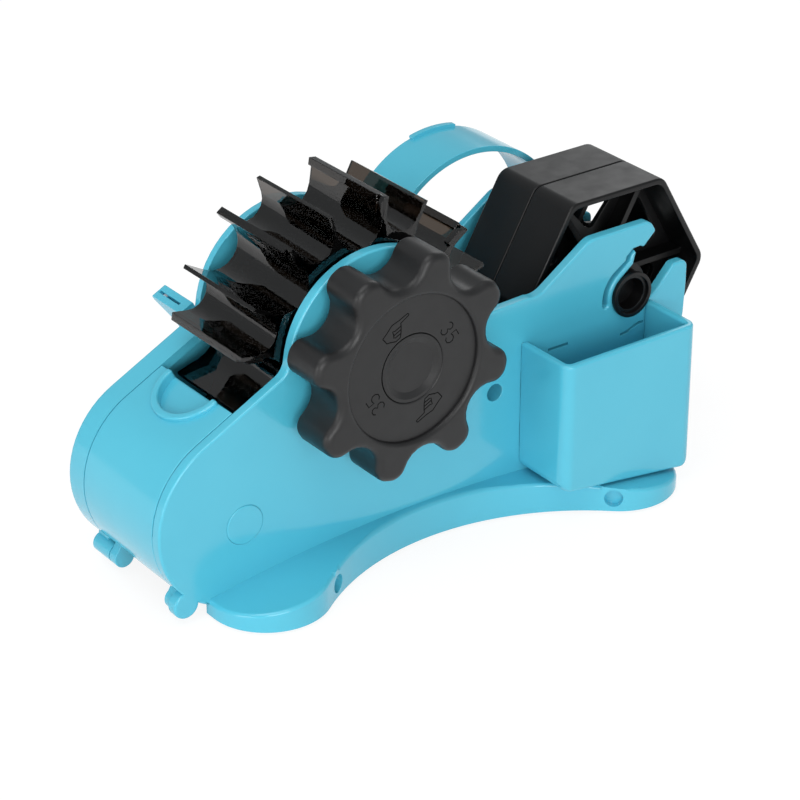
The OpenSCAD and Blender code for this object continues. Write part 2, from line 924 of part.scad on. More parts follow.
// Return spring of the cutter arm: its coil is drawn as one sleeve
module arm_spring() {
    color(steel_grey) place()
        tube(arm_pivot, coil_r, arm_pin_r + fit, arm_half + gap, arm_half + gap + coil_w);
}

// Outline of the wheel: per pair a trailing fin, the trough inside the pair,
// a leading fin and the trough to the next pair
function fin_tip(a) = [turn([wheel_r, -fin_t / 2], a), turn([wheel_r, fin_t / 2], a)];

function trough(mid, half, depth) =
    let (
        low = wheel_r - depth,
        bow = (low * sin(half) - fin_t / 2) / (1 - sin(half))
    )
    [for (p = arc([low + bow, 0], bow, 270 - half, 90 + half, short_steps)) turn(p, mid)];

wheel_outline = [for (k = [0:pairs - 1])
    let (
        lead = phase + k * pitch,
        half_in = pair_angle / 2,
        half_out = (pitch - pair_angle) / 2
    )
    each concat(
        fin_tip(lead - pair_angle),
        trough(lead - half_in, half_in, pair_depth),
        fin_tip(lead),
        trough(lead + half_out, half_out, stop_depth)
    )];

module paddle_wheel() {
    color(smoke_black) place() {
        difference() {
            union() {
                slab(-half_w, half_w) difference() {
                    polygon(wheel_outline);
                    circle(wheel_core_r);
                }
                slab(-wheel_web_t / 2, wheel_web_t / 2) circle(wheel_core_r + wheel_wall / 2);
                slab(wheel_end_depth - half_w, half_w - wheel_end_depth)
                    for (k = [0:pairs - 1]) rotate(k * pitch)
                        translate([0, -wheel_rib_t / 2])
                        square([wheel_core_r + wheel_wall / 2, wheel_rib_t]);
                rod([0, 0], wheel_hub_r, -half_w, half_w);
            }
            rod([0, 0], shaft_r, -half_w - over, half_w + over);
        }
        for (k = [0:pairs - 1]) rotate([0, -phase - k * pitch, 0]) {
            slab(-half_w + end_rib_w, half_w)
                translate([wheel_r - tip_bar_h, -fin_t / 2])
                square([tip_bar_h, tip_bar_t]);
            slab(-half_w, -half_w + end_rib_w)
                polygon([
                    [wheel_r - stop_depth / 2, 0],
                    [wheel_r, 0],
                    [wheel_r, fin_t / 2],
                    [wheel_r - tip_bar_h, fin_t / 2 + end_rib_t],
                    [wheel_r - stop_depth / 2, fin_t / 2 + end_rib_t]
                ]);
        }
    }
}

module wheel_shaft() {
    color(steel_grey) place() difference() {
        rod([0, 0], shaft_r, dial_y + cap_well + knob_web, far_face - 2 * bush_end_t);
        rod([0, 0], screw_r, dial_y, dial_y + cap_well + knob_screw_len);
    }
}

module index_wheel() {
    color(soft_black) place() difference() {
        union() {
            slab(far_in - far_flange_t - gap - index_t, far_in - far_flange_t - gap) difference() {
                circle(index_r);
                for (k = [0:pairs - 1]) rotate(k * pitch - 90)
                    translate([index_r + notch_out, 0]) circle(notch_r);
            }
            rod([0, 0], index_hub_r, half_w, far_in - far_flange_t - gap);
        }
        rod([0, 0], shaft_r, half_w - over, far_in);
    }
}

// Leaf spring whose round nose rests in the lowest notch of the index wheel
module index_spring() {
    y1 = far_in - far_flange_t - gap;
    low = leaf_post[1] - leaf_post_r - leaf_eye_t;
    color(steel_grey) place() slab(y1 - index_t, y1) difference() {
        union() {
            translate(leaf_post) circle(leaf_post_r + leaf_eye_t);
            translate([leaf_post[0], low]) square([leaf_back + leaf_front, leaf_t]);
            translate([-leaf_nose_r, low])
                square([2 * leaf_nose_r, -index_r - notch_out - low]);
            translate([0, -index_r - notch_out]) circle(leaf_nose_r);
        }
        translate(leaf_post) circle(leaf_post_r);
    }
}

// Outline of the grip: round lobes with finger hollows between them
function knob_outline() =
    let (
        hollow_c = knob_r - hollow_depth + hollow_r,
        lobe_c = knob_r - lobe_round,
        reach = hollow_r + lobe_round,
        swing = acos(
            (lobe_c * lobe_c + hollow_c * hollow_c - reach * reach) / (2 * lobe_c * hollow_c)
        ),
        fillet = lobe_c * dir(swing),
        lean = angle_of(fillet - [hollow_c, 0])
    )
    [for (k = [0:pairs - 1])
        for (p = concat(
            arc([hollow_c, 0], hollow_r, 360 - lean, lean, short_steps),
            arc(fillet, lobe_round, lean - 180, swing, short_steps),
            [for (q = arc([fillet[0], -fillet[1]], lobe_round, -swing, 180 - lean, short_steps))
                turn(q, pitch)]
        ))
        turn(p, knob_phase + k * pitch)];

module knob() {
    color(soft_black) place() difference() {
        union() {
            slab(knob_front, knob_back) polygon(knob_outline());
            rod([0, 0], knob_hub_r, knob_back - bite, near_face - bush_flange_t - gap);
        }
        rod([0, 0], dial_r, knob_front - over, dial_y);
        rod([0, 0], cap_well_r, knob_front - over, dial_y + cap_well);
        tube([0, 0], knob_rim_r, knob_hub_r, dial_y + knob_wall + cap_well, near_face);
        rod([0, 0], shaft_r, dial_y + cap_well + knob_web, near_face);
        rod([0, 0], screw_r, dial_y, near_face);
    }
}

module knob_screw() {
    color(steel_grey) place() screw([0, 0], dial_y + cap_well, knob_screw_len, 1);
}

module knob_cap() {
    color(soft_black) place() {
        rod([0, 0], knob_cap_r, dial_y, dial_y + knob_cap_t);
        tube([0, 0], knob_cap_r, knob_cap_r - knob_cap_wall, dial_y + knob_cap_t, dial_y + cap_well);
    }
}

module drum_spindle() {
    color(soft_black) place()
        tube(spindle, spindle_r, spindle_r - tube_t, near_face - gap, far_face - gap);
}

module near_end_cap() {
    y = near_face - gap;
    color(soft_black) place() difference() {
        union() {
            rod(spindle, spindle_r + end_flange, y - end_flange_t, y);
            rod(spindle, spindle_r - tube_t, y, y + plug_len);
        }
        rod(spindle, spindle_r - end_dish, y - end_flange_t - over, y - end_flange_t / 2);
        rod(spindle, spindle_r - tube_t - plug_wall, y - end_flange_t, y + plug_len - plug_wall);
    }
}

module far_end_cap() {
    y = far_face - gap;
    color(soft_black) place() difference() {
        rod(spindle, spindle_r - tube_t, y - plug_len, y);
        rod(spindle, spindle_r - tube_t - plug_wall, y - plug_len + plug_wall, y + over);
    }
}

// Six-sided outline with rounded corners
module hexagon(r, round) {
    polygon(rounded([for (i = [1:drum_sides]) [r * dir(i * drum_step), round]]));
}

module drum(y0, hub0, hub1) {
    inner = drum_r - rim_t / cos(drum_step / 2);
    flat = inner * cos(drum_step / 2);
    hub = spindle_r + fit + hub_t;
    translate([spindle[0], 0, spindle[1]]) {
        slab(y0, y0 + drum_w) difference() {
            hexagon(drum_r, drum_round);
            hexagon(inner, drum_round - rim_t / 2);
        }
        slab(y0 + web_in, y0 + web_in + web_t) difference() {
            hexagon(drum_r - rim_t / 2, drum_round - rim_t / 2);
            circle(spindle_r + fit);
            for (i = [1:drum_sides]) rotate((i + 1 / 2) * drum_step) polygon(rounded([
                [[window_hub, 0], window_round],
                [[flat - window_round, -flat * tan(30) + spoke_w], window_round],
                [[flat - window_round, flat * tan(30) - spoke_w], window_round]
            ]));
        }
        slab(y0 + spoke_rib_in, y0 + web_in + bite) difference() {
            for (i = [1:drum_sides]) rotate(i * drum_step) translate([0, -spoke_rib_t / 2])
                square([drum_r - rim_t - fit, spoke_rib_t]);
            circle(hub - hub_t / 2);
        }
        tube([0, 0], hub, spindle_r + fit, hub0, hub1);
    }
}

module near_drum() {
    color(soft_black) place()
        drum(mid_y - seam / 2 - drum_w, near_in + gap, mid_y - seam / 2);
}

module far_drum() {
    color(soft_black) place() drum(mid_y + seam / 2, mid_y + seam / 2, far_in - gap);
}

module side_ring() {
    color(body_blue) place() difference() {
        union() {
            tube(ring_c, ring_r, ring_r - ring_t, far_face, far_face + ring_w);
            slab(far_face + ring_w - catch_w, far_face + ring_w) translate(ring_c)
                polygon(concat(
                    arc([0, 0], ring_r + catch_h, catch_from, catch_to, short_steps),
                    arc([0, 0], ring_r - ring_t / 2, catch_to, catch_from, short_steps)
                ));
            for (a = ear_angles) slab(far_face, far_face + ear_t) translate(ring_c) rotate(a) {
                translate([ring_r - ear_in, 0]) circle(ear_r);
                translate([ring_r - ear_in, -ear_r]) square([ear_in - ring_t / 2, 2 * ear_r]);
            }
        }
        for (c = ear_centres) rod(c, screw_r + fit, far_face - over, far_face + ear_t + over);
    }
}

module ring_screws() {
    color(steel_grey) place()
        for (c = ear_centres) screw(c, far_face + ear_t, ring_screw_len, -1);
}

// Space of the pen box between its slanted floor and its rim
module box_space(inset) {
    fall = (box_w - 2 * inset) * tan(box_fall);
    x0 = box_x + inset;
    x1 = box_x + box_w - inset;
    low = -box_rim - box_h + inset;
    top = inset > 0 ? over : 0;
    intersection() {
        slab(near_face - box_d + inset, near_face - box_seat + top) polygon(concat(
            [[x0, -box_rim + top]],
            rounded_path([
                [[x0, -box_rim + top], 0],
                [[x0, low], box_round - inset],
                [[x1, low - fall], box_round - inset],
                [[x1, -box_rim + top], 0]
            ]),
            [[x1, -box_rim + top]]
        ));
        translate([0, 0, -2 * box_h]) linear_extrude(3 * box_h) polygon(concat(
            [[x0, near_face + over]],
            rounded_path([
                [[x0, near_face + over], 0],
                [[x0, near_face - box_d + inset], box_round - inset],
                [[x1, near_face - box_d + inset], box_round - inset],
                [[x1, near_face + over], 0]
            ]),
            [[x1, near_face + over]]
        ));
    }
}

module pen_box() {
    color(body_blue) place() {
        difference() {
            box_space(0);
            box_space(box_wall);
        }
        for (x = [box_x, box_x + box_w - box_wall])
            for (drop = tongue_drop)
                translate([x + (box_wall - tongue_t) / 2, near_face - box_seat - bite, 0])
                    translate([0, 0, -box_rim - drop - tongue_h])
                    cube([tongue_t, box_seat + bite + near_wall_t + tongue_end, tongue_h]);
    }
}

near_shell();
far_shell();
base_plate();
base_screws();
shell_screws();
rubber_feet();
near_bush();
far_bush();
front_cover();
pivot_cap();
arm_pivot_pin();
cutter_arm();
cutter_blade();
blade_screws();
arm_spring();
paddle_wheel();
wheel_shaft();
index_wheel();
index_spring();
knob();
knob_screw();
knob_cap();
drum_spindle();
near_drum();
far_drum();
near_end_cap();
far_end_cap();
side_ring();
ring_screws();
pen_box();
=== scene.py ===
"""Desk tape dispenser with a rotary strip cutter: looks, light and camera."""

import json
import math

import bmesh
import bpy
from mathutils import Matrix, Vector


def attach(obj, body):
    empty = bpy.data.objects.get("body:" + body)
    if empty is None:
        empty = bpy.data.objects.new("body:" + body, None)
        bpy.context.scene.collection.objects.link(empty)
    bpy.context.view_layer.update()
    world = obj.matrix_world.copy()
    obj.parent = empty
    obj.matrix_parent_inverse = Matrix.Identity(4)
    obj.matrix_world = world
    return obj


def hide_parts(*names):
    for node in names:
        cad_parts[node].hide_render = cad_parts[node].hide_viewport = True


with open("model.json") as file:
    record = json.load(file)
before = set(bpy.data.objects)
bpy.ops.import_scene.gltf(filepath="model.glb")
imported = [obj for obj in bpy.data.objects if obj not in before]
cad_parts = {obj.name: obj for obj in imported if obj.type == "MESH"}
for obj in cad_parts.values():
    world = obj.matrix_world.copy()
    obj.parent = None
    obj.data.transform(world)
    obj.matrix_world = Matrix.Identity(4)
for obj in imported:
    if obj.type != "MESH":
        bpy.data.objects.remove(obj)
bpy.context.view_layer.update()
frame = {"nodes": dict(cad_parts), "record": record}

MM = 0.001
AXLE = Vector((-29.41325, 1.3, 72.0)) * MM  # middle of the paddle wheel

# Millimetres from the middle of the wheel: planes along y
NEAR_FACE = -23.0  # outer face of the near wall
NEAR_INNER = -19.5
FAR_INNER = 25.0
FAR_FACE = 28.0
KNOB_FRONT = -42.8
DIAL_FACE = -41.2  # face of the sunk dial
KNOB_BACK = -27.0
DRUM_ENDS = (-15.65, 2.35, 2.65, 20.65)  # both ends of the near and the far drum

# Axes across the stand, as x and z
WHEEL_AXIS = (0.0, 0.0)
SPINDLE_AXIS = (99.9, -11.0)
ARM_AXIS = (-48.3, -44.8)
WALL_SCREW_AXIS = (45.5, -29.8)
RING_AXIS = (75.8, -9.5)

FOOT_HOLES = ((74.8, -47.5), (-25.1, -37.6), (75.7, 45.6), (-24.5, 41.3))  # x and y
FOOT_HOLE_Z = -66.4
FLANGE_FOOT = -70.5  # just above the lower edge of the foot flanges
WHEEL_R = 45.73  # radius over the fins
BLADE_EDGE = 206.0  # direction of the cutter blade seen from the axle, in degrees
SHARP_ANGLE = 28.0  # an outer edge at least this steep, in degrees, gets a rounding
SMOOTH_ANGLE = 32.0  # steepest step in degrees that is shaded smooth
RECESS = (2.8, 0.55, 1.6)  # one slot of a cross recess: length, width and twice its depth


def spot(x, y, z):
    """Point given in millimetres from the middle of the wheel."""
    return AXLE + Vector((x, y, z)) * MM


def off_axis(p, axis):
    """Distance of a point from an axis across the stand."""
    return math.hypot(p.x - axis[0], p.z - axis[1])


# Colour and material helpers


def linear(code):
    """Linear colour of an sRGB hex value."""
    out = []
    for i in (1, 3, 5):
        c = int(code[i : i + 2], 16) / 255
        out.append(c / 12.92 if c <= 0.04045 else ((c + 0.055) / 1.055) ** 2.4)
    return (*out, 1.0)


def put(tree, kind, values=None, **settings):
    """Adds a node: a socket among the values is linked, anything else is set."""
    node = tree.nodes.new(kind)
    for name, value in settings.items():
        setattr(node, name, value)
    for key, value in (values or {}).items():
        if isinstance(value, bpy.types.NodeSocket):
            tree.links.new(value, node.inputs[key])
        else:
            node.inputs[key].default_value = value
    return node


def blank(name):
    """An empty node material and its tree."""
    material = bpy.data.materials.new(name)
    material.use_nodes = True
    material.node_tree.nodes.clear()
    return material, material.node_tree


def close(tree, shader):
    put(tree, "ShaderNodeOutputMaterial", {"Surface": shader.outputs[0]})


def noise(tree, size_mm, detail=2.0, stretch=(1.0, 1.0, 1.0)):
    """Noise whose cells are size_mm across, on Object coordinates."""
    place = put(tree, "ShaderNodeTexCoord").outputs["Object"]
    place = put(tree, "ShaderNodeMapping", {"Vector": place, "Scale": stretch}).outputs[0]
    values = {"Vector": place, "Scale": 1 / (size_mm * MM), "Detail": detail}
    return put(tree, "ShaderNodeTexNoise", values).outputs["Fac"]


def spread(tree, value, low, high):
    """The value 0.3 to 0.7 of a noise, mapped to low and high."""
    values = {"Value": value, "From Min": 0.3, "From Max": 0.7, "To Min": low, "To Max": high}
    return put(tree, "ShaderNodeMapRange", values).outputs[0]


def blend_of(tree, value, low, high):
    """Mix of two hex colours by a noise."""
    values = {0: spread(tree, value, 0.0, 1.0), 6: linear(low), 7: linear(high)}
    return put(tree, "ShaderNodeMix", values, data_type="RGBA").outputs[2]


def bump(tree, height, depth_mm, strength=1.0, under=None):
    values = {"Height": height, "Distance": depth_mm * MM, "Strength": strength}
    if under is not None:
        values["Normal"] = under
    return put(tree, "ShaderNodeBump", values).outputs[0]


def seen_by(tree, *kinds):
    """One for a camera ray and for the other kinds of ray named, otherwise zero."""
    rays = put(tree, "ShaderNodeLightPath")
    seen = rays.outputs["Is Camera Ray"]
    for kind in kinds:
        pair = {0: seen, 1: rays.outputs[kind]}
        seen = put(tree, "ShaderNodeMath", pair, operation="MAXIMUM").outputs[0]
    return seen


# Materials


def sky_blue_abs():
    """ABS moulded against polished steel: bright even colour, clear gloss, and a
    faint waviness and flow marks that show only in its reflections."""
    material, tree = blank("moulded_abs_sky_blue")
    flow = noise(tree, 38.0, 3.0)
    waves = noise(tree, 7.0, 1.0)
    grain = noise(tree, 0.6, 2.0)
    normal = bump(tree, grain, 0.004, 0.5, bump(tree, waves, 0.03, 0.35))
    values = {
        "Base Color": blend_of(tree, flow, "#4fb8d1", "#54bcd4"),
        "Roughness": spread(tree, noise(tree, 15.0, 3.0), 0.13, 0.18),
        "IOR": 1.53,
        "Specular IOR Level": 0.5,
        "Normal": normal,
    }
    close(tree, put(tree, "ShaderNodeBsdfPrincipled", values))
    return material


def spark_grain_black(name, base, high, rough, grain_mm, depth, shine=0.5):
    """Black ABS moulded against a spark-eroded or brushed steel face: dull, with a
    fine grain that breaks up its highlights."""
    material, tree = blank(name)
    cloud = noise(tree, 12.0, 3.0)
    grain = noise(tree, grain_mm, 3.0)
    values = {
        "Base Color": blend_of(tree, cloud, base, high),
        "Roughness": spread(tree, noise(tree, 5.0, 3.0), rough - 0.04, rough + 0.05),
        "IOR": 1.53,
        "Specular IOR Level": shine,
        "Normal": bump(tree, grain, depth, 0.6),
    }
    close(tree, put(tree, "ShaderNodeBsdfPrincipled", values))
    return material


def smoke_polystyrene():
    """Smoke-grey polystyrene, polished: its body swallows the light within a few
    millimetres, so it is black in the mass and brown where one fin is seen through."""
    material, tree = blank("smoke_polystyrene")
    flow = noise(tree, 22.0, 2.0)
    values = {
        "Base Color": blend_of(tree, flow, "#e4ddd6", "#ece6e0"),
        "Roughness": spread(tree, noise(tree, 9.0, 2.0), 0.03, 0.06),
        "IOR": 1.5,
        "Transmission Weight": 1.0,
    }
    skin = put(tree, "ShaderNodeBsdfPrincipled", values)
    depth = {"Color": (0.24, 0.17, 0.1, 1.0), "Density": 2100.0}
    mass = put(tree, "ShaderNodeVolumeAbsorption", depth)
    put(tree, "ShaderNodeOutputMaterial", {"Surface": skin.outputs[0], "Volume": mass.outputs[0]})
    return material


def drawn_steel(name, rough, stretch):
    """Bright steel as drawn or ground: fine parallel scratches along the work."""
    material, tree = blank(name)
    lines = noise(tree, 0.5, 3.0, stretch)
    values = {
        "Base Color": blend_of(tree, noise(tree, 4.0, 2.0), "#b4b6b9", "#c6c8cb"),
        "Metallic": 1.0,
        "Roughness": spread(tree, lines, rough - 0.08, rough + 0.08),
        "Normal": bump(tree, lines, 0.01, 0.4),
    }
    close(tree, put(tree, "ShaderNodeBsdfPrincipled", values))
    return material


def pad_rubber():
    """Moulded rubber of the pads: dark, dull and dusty, with a fine pebble."""
    material, tree = blank("moulded_rubber")
    values = {
        "Base Color": blend_of(tree, noise(tree, 3.0, 3.0), "#2c2c2d", "#3b3b3c"),
        "Roughness": spread(tree, noise(tree, 1.5, 2.0), 0.75, 0.9),
        "IOR": 1.5,
        "Normal": bump(tree, noise(tree, 0.4, 2.0), 0.03, 0.6),
    }
    close(tree, put(tree, "ShaderNodeBsdfPrincipled", values))
    return material


BLUE = sky_blue_abs()
KNOB_BLACK = spark_grain_black(
    "spark_grained_abs_black", "#121213", "#161617", 0.42, 0.35, 0.02, 0.45)
DRUM_BLACK = spark_grain_black("satin_abs_black", "#0b0b0c", "#0d0d0e", 0.38, 0.5, 0.005, 0.3)
INNER_BLACK = spark_grain_black("acetal_black", "#151516", "#1d1d1e", 0.4, 0.6, 0.008)
# Near-black finish for the dial marks: painted shade standing in for the dark floors of the
# engraved grooves
GROOVE_SHADE_BLACK = spark_grain_black(
    "painted_groove_shade_black", "#040404", "#060606", 0.6, 0.3, 0.01, 0.1)
SMOKE = smoke_polystyrene()
STEEL = drawn_steel("drawn_steel", 0.28, (1.0, 0.08, 1.0))
BLADE_STEEL = drawn_steel("ground_blade_steel", 0.2, (0.1, 1.0, 0.1))
SPRING_STEEL = drawn_steel("spring_steel", 0.3, (1.0, 1.0, 0.2))
RUBBER = pad_rubber()

NODE_MATERIALS = {
    BLUE: ["near_shell", "far_shell", "base_plate", "front_cover", "pivot_cap", "side_ring",
           "pen_box"],
    KNOB_BLACK: ["knob", "knob_cap"],
    DRUM_BLACK: ["near_drum", "far_drum", "drum_spindle", "near_end_cap", "far_end_cap"],
    INNER_BLACK: ["near_bush", "far_bush", "cutter_arm", "index_wheel"],
    SMOKE: ["paddle_wheel"],
    STEEL: ["base_screws", "shell_screws", "blade_screws", "knob_screw", "ring_screws",
            "arm_pivot_pin", "wheel_shaft"],
    BLADE_STEEL: ["cutter_blade"],
    SPRING_STEEL: ["arm_spring", "index_spring"],
    RUBBER: ["rubber_feet"],
}
FINISH = {}
for finish, nodes in NODE_MATERIALS.items():
    for node in nodes:
        FINISH[node] = finish
        mesh = frame["nodes"][node].data
        mesh.materials.clear()
        mesh.materials.append(finish)
BODY = {n: b for b, nodes in frame["record"]["behaviour"]["bodies"].items() for n in nodes}


# Modelling helpers


def only(piece):
    """Leaves one object selected and active."""
    if bpy.context.object and bpy.context.object.mode != "OBJECT":
        bpy.ops.object.mode_set(mode="OBJECT")
    bpy.ops.object.select_all(action="DESELECT")
    piece.select_set(True)
    bpy.context.view_layer.objects.active = piece


def settle(piece, finish, body):
    """Puts a piece's place into its mesh, gives it its finish and its body."""
    only(piece)
    bpy.ops.object.transform_apply(location=True, rotation=True, scale=True)
    piece.data.materials.clear()
    piece.data.materials.append(finish)
    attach(piece, body)


def smoothed(piece, angle=SMOOTH_ANGLE):
    """Smooth shading up to an angle in degrees, flats kept flat beside roundings."""
    only(piece)
    if piece.data.has_custom_normals:
        bpy.ops.mesh.customdata_custom_splitnormals_clear()
    bpy.ops.object.shade_smooth_by_angle(angle=math.radians(angle))
    flats = piece.modifiers.new("true_flats", "WEIGHTED_NORMAL")
    flats.keep_sharp = True
    bpy.ops.object.modifier_apply(modifier=flats.name)


def moulded(node, width, rule, steps=3, shape=None):
    """A copy of a CAD node with rounded edges. rule gives the share of the width
    for an outer edge from its middle point and its two ends, in mm from the axle;
    shape may move a corner first."""
    piece = bpy.data.objects.new(node + "_moulded", frame["nodes"][node].data.copy())
    bpy.context.scene.collection.objects.link(piece)
    only(piece)
    bpy.ops.object.mode_set(mode="EDIT")
    bpy.ops.mesh.select_all(action="SELECT")
    bpy.ops.mesh.remove_doubles(threshold=0.002 * MM)
    bpy.ops.mesh.dissolve_limited(angle_limit=math.radians(0.4), delimit={"NORMAL"})
    bpy.ops.mesh.quads_convert_to_tris(ngon_method="BEAUTY")
    bpy.ops.object.mode_set(mode="OBJECT")
    if piece.data.has_custom_normals:
        bpy.ops.mesh.customdata_custom_splitnormals_clear()
    form = bmesh.new()
    form.from_mesh(piece.data)
    if shape:
        for vert in form.verts:
            vert.co = AXLE + shape((vert.co - AXLE) / MM) * MM
    weight = form.edges.layers.float.new("bevel_weight_edge")
    sharp = math.radians(SHARP_ANGLE)
    for edge in form.edges:
        if len(edge.link_faces) != 2 or edge.calc_face_angle_signed(0.0) < sharp:
            continue
        a, b = [(v.co - AXLE) / MM for v in edge.verts]
        edge[weight] = rule((a + b) / 2, a, b)
    form.to_mesh(piece.data)
    form.free()
    soft = piece.modifiers.new("rounded_edges", "BEVEL")
    soft.limit_method = "WEIGHT"
    soft.width = width * MM
    soft.segments = steps
    soft.use_clamp_overlap = False
    soft.loop_slide = False
    bpy.ops.object.modifier_apply(modifier=soft.name)
    smoothed(piece)
    settle(piece, FINISH[node], BODY[node])
    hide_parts(node)
    return piece


def plane_is(y, *points):
    """True when all the points lie in one plane across the wheel's axis."""
    return all(abs(p.y - y) < 0.02 for p in points)


# Walls, cover, ring and pen box with rounded rims


def by_foot_hole(p):
    """True beside one of the small round holes in the foot flanges."""
    return any((p - Vector((x, y, FOOT_HOLE_Z))).length < 5.5 for x, y in FOOT_HOLES)


def near_shell_rule(mid, a, b):
    """One rounding all along the wall's rim and cradle, a fine one at the holes."""
    if plane_is(NEAR_FACE, a, b):
        if off_axis(mid, WALL_SCREW_AXIS) < 4.0 or off_axis(mid, WHEEL_AXIS) < 10.0:
            return 0.2
        if off_axis(mid, ARM_AXIS) < 8.0:
            return 0.12
        beside_box = mid.z < -20.0 and 54.0 < mid.x < 111.0
        return 0.0 if beside_box else 0.58
    if plane_is(NEAR_INNER, a, b) and mid.z > -40.0:
        return 0.25
    if mid.y < NEAR_FACE - 0.5 and mid.z > FLANGE_FOOT and not by_foot_hole(mid):
        return 0.9
    return 0.0


def far_shell_rule(mid, a, b):
    """The same for the far wall; the strip bracket beside the slope stays crisp."""
    if mid.y > FAR_FACE + 0.5 and mid.x < -25.0 and mid.z > -30.0:
        return 0.2
    if plane_is(FAR_FACE, a, b):
        return 0.58 if mid.z > -62.0 and off_axis(mid, WHEEL_AXIS) > 10.0 else 0.2
    if plane_is(FAR_INNER, a, b) and mid.z > -30.0 and mid.x > -20.0:
        return 0.35
    if mid.y > FAR_FACE + 0.5 and mid.z > FLANGE_FOOT and not by_foot_hole(mid):
        return 0.9
    return 0.0


def cover_rule(mid, a, b):
    """Full rounding on the raised finger lip, a finer one everywhere else."""
    lip = Vector((-49.2, 1.2, -8.7))
    if (mid - lip).length < 16.0 and mid.z > -20.0 and abs(mid.y) < 15.0:
        return 1.0
    return 0.35


def pen_box_rule(mid, a, b):
    """Nearly sharp tongues at the wall, a rounded rim and a rounded floor."""
    if mid.y > -23.3:
        return 0.1
    if mid.z > -15.9:
        return 0.55
    if mid.z < -48.0:
        return 0.65
    return 0.0


def knob_rule(mid, a, b):
    """Full rounding over the grip, less at its back and round the sunk dial."""
    from_axis = off_axis(mid, WHEEL_AXIS)
    if plane_is(KNOB_FRONT, a, b):
        return 1.0 if from_axis > 25.0 else 0.6
    if plane_is(DIAL_FACE, a, b):
        return 0.3
    if plane_is(KNOB_BACK, a, b) and from_axis > 25.0:
        return 0.5
    return 0.0


def drum_rule(mid, a, b):
    """Rounded rims, most at the outer ends, and finer edges round the hub."""
    x, z = mid.x - SPINDLE_AXIS[0], mid.z - SPINDLE_AXIS[1]
    flats = (math.pi / 6, math.pi / 2, -math.pi / 6)
    across = max(abs(x * math.cos(t) + z * math.sin(t)) for t in flats)
    if across > 29.0 and any(plane_is(y, a, b) for y in DRUM_ENDS):
        outer_end = plane_is(DRUM_ENDS[0], a) or plane_is(DRUM_ENDS[-1], a)
        if across > 31.5:
            return 0.8 if outer_end else 0.6
        return 0.4
    return 0.25 if across < 29.0 else 0.0


def everywhere(mid, a, b):
    return 1.0


def open_end(p):
    """Widens the bore of the near end cap and sinks the floor of its dish."""
    x, z = SPINDLE_AXIS
    bore = off_axis(p, SPINDLE_AXIS)
    if 4.4 < bore < 5.0:
        p.x = x + (p.x - x) * 5.3 / bore
        p.z = z + (p.z - z) * 5.3 / bore
    if plane_is(NEAR_FACE - 0.9, p):
        p.y = NEAR_FACE - 0.4
    return p


near_shell = moulded("near_shell", 1.3, near_shell_rule)
# Blind rear hole of the near foot, square to the flange's side there
bpy.ops.mesh.primitive_cylinder_add(
    vertices=48, radius=3.0 * MM, depth=5.4 * MM, location=spot(74.6, -47.7, FOOT_HOLE_Z),
    rotation=(0.0, math.radians(90), math.radians(47.5)))
drill = bpy.context.object
hole = near_shell.modifiers.new("rear_foot_hole", "BOOLEAN")
hole.operation = "DIFFERENCE"
hole.object = drill
only(near_shell)
bpy.ops.object.modifier_apply(modifier=hole.name)
bpy.data.objects.remove(drill)
smoothed(near_shell)
moulded("far_shell", 1.3, far_shell_rule)
moulded("front_cover", 0.6, cover_rule)
moulded("pen_box", 1.8, pen_box_rule, steps=4)
moulded("side_ring", 0.5, lambda mid, a, b: 1.0 if mid.y > 48.0 else 0.4)
moulded("knob", 2.4, knob_rule, steps=5)
moulded("near_end_cap", 0.2, everywhere, shape=open_end)
moulded("near_drum", 0.9, drum_rule)
moulded("far_drum", 0.9, drum_rule)
moulded("paddle_wheel", 0.22, everywhere, steps=2)
for node, width in (
    ("pivot_cap", 0.35), ("far_end_cap", 0.2), ("drum_spindle", 0.2),
    ("base_plate", 0.3), ("rubber_feet", 0.35), ("cutter_arm", 0.3), ("index_wheel", 0.2),
    ("near_bush", 0.2), ("far_bush", 0.2), ("index_spring", 0.1), ("wheel_shaft", 0.3),
    ("arm_pivot_pin", 0.3), ("knob_screw", 0.2),
):
    moulded(node, width, everywhere)


# Dished cap in the middle of the dial, hollow behind

bpy.ops.mesh.primitive_cylinder_add(
    vertices=128, radius=10.95 * MM, depth=3.05 * MM, location=spot(0.0, DIAL_FACE + 1.575, 0.0),
    rotation=(math.radians(90), 0.0, 0.0))
dial_cap = bpy.context.object
dial_cap.name = "dial_cap"
only(dial_cap)
dish = ((1.05, 0.0), (1.9, -0.9))  # flat rim, then the sloped side down to the floor
hollow = ((1.2, 0.0), (0.1, -1.75))
for way, insets in ((1.0, dish), (-1.0, hollow)):
    bpy.ops.object.mode_set(mode="EDIT")
    bpy.ops.mesh.select_all(action="DESELECT")
    form = bmesh.from_edit_mesh(dial_cap.data)
    for face in form.faces:
        face.select_set(len(face.verts) > 4 and face.normal.z * way > 0.5)
    bmesh.update_edit_mesh(dial_cap.data)
    for wide, deep in insets:
        bpy.ops.mesh.inset(thickness=wide * MM, depth=deep * MM)
    bpy.ops.object.mode_set(mode="OBJECT")
brim = dial_cap.modifiers.new("brim", "BEVEL")
brim.width = 0.15 * MM
brim.segments = 2
bpy.ops.object.modifier_apply(modifier=brim.name)
smoothed(dial_cap, 15.0)
settle(dial_cap, KNOB_BLACK, "wheel")
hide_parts("knob_cap")


# Marks on the dial, as strokes in mm: first along the rim, then towards it

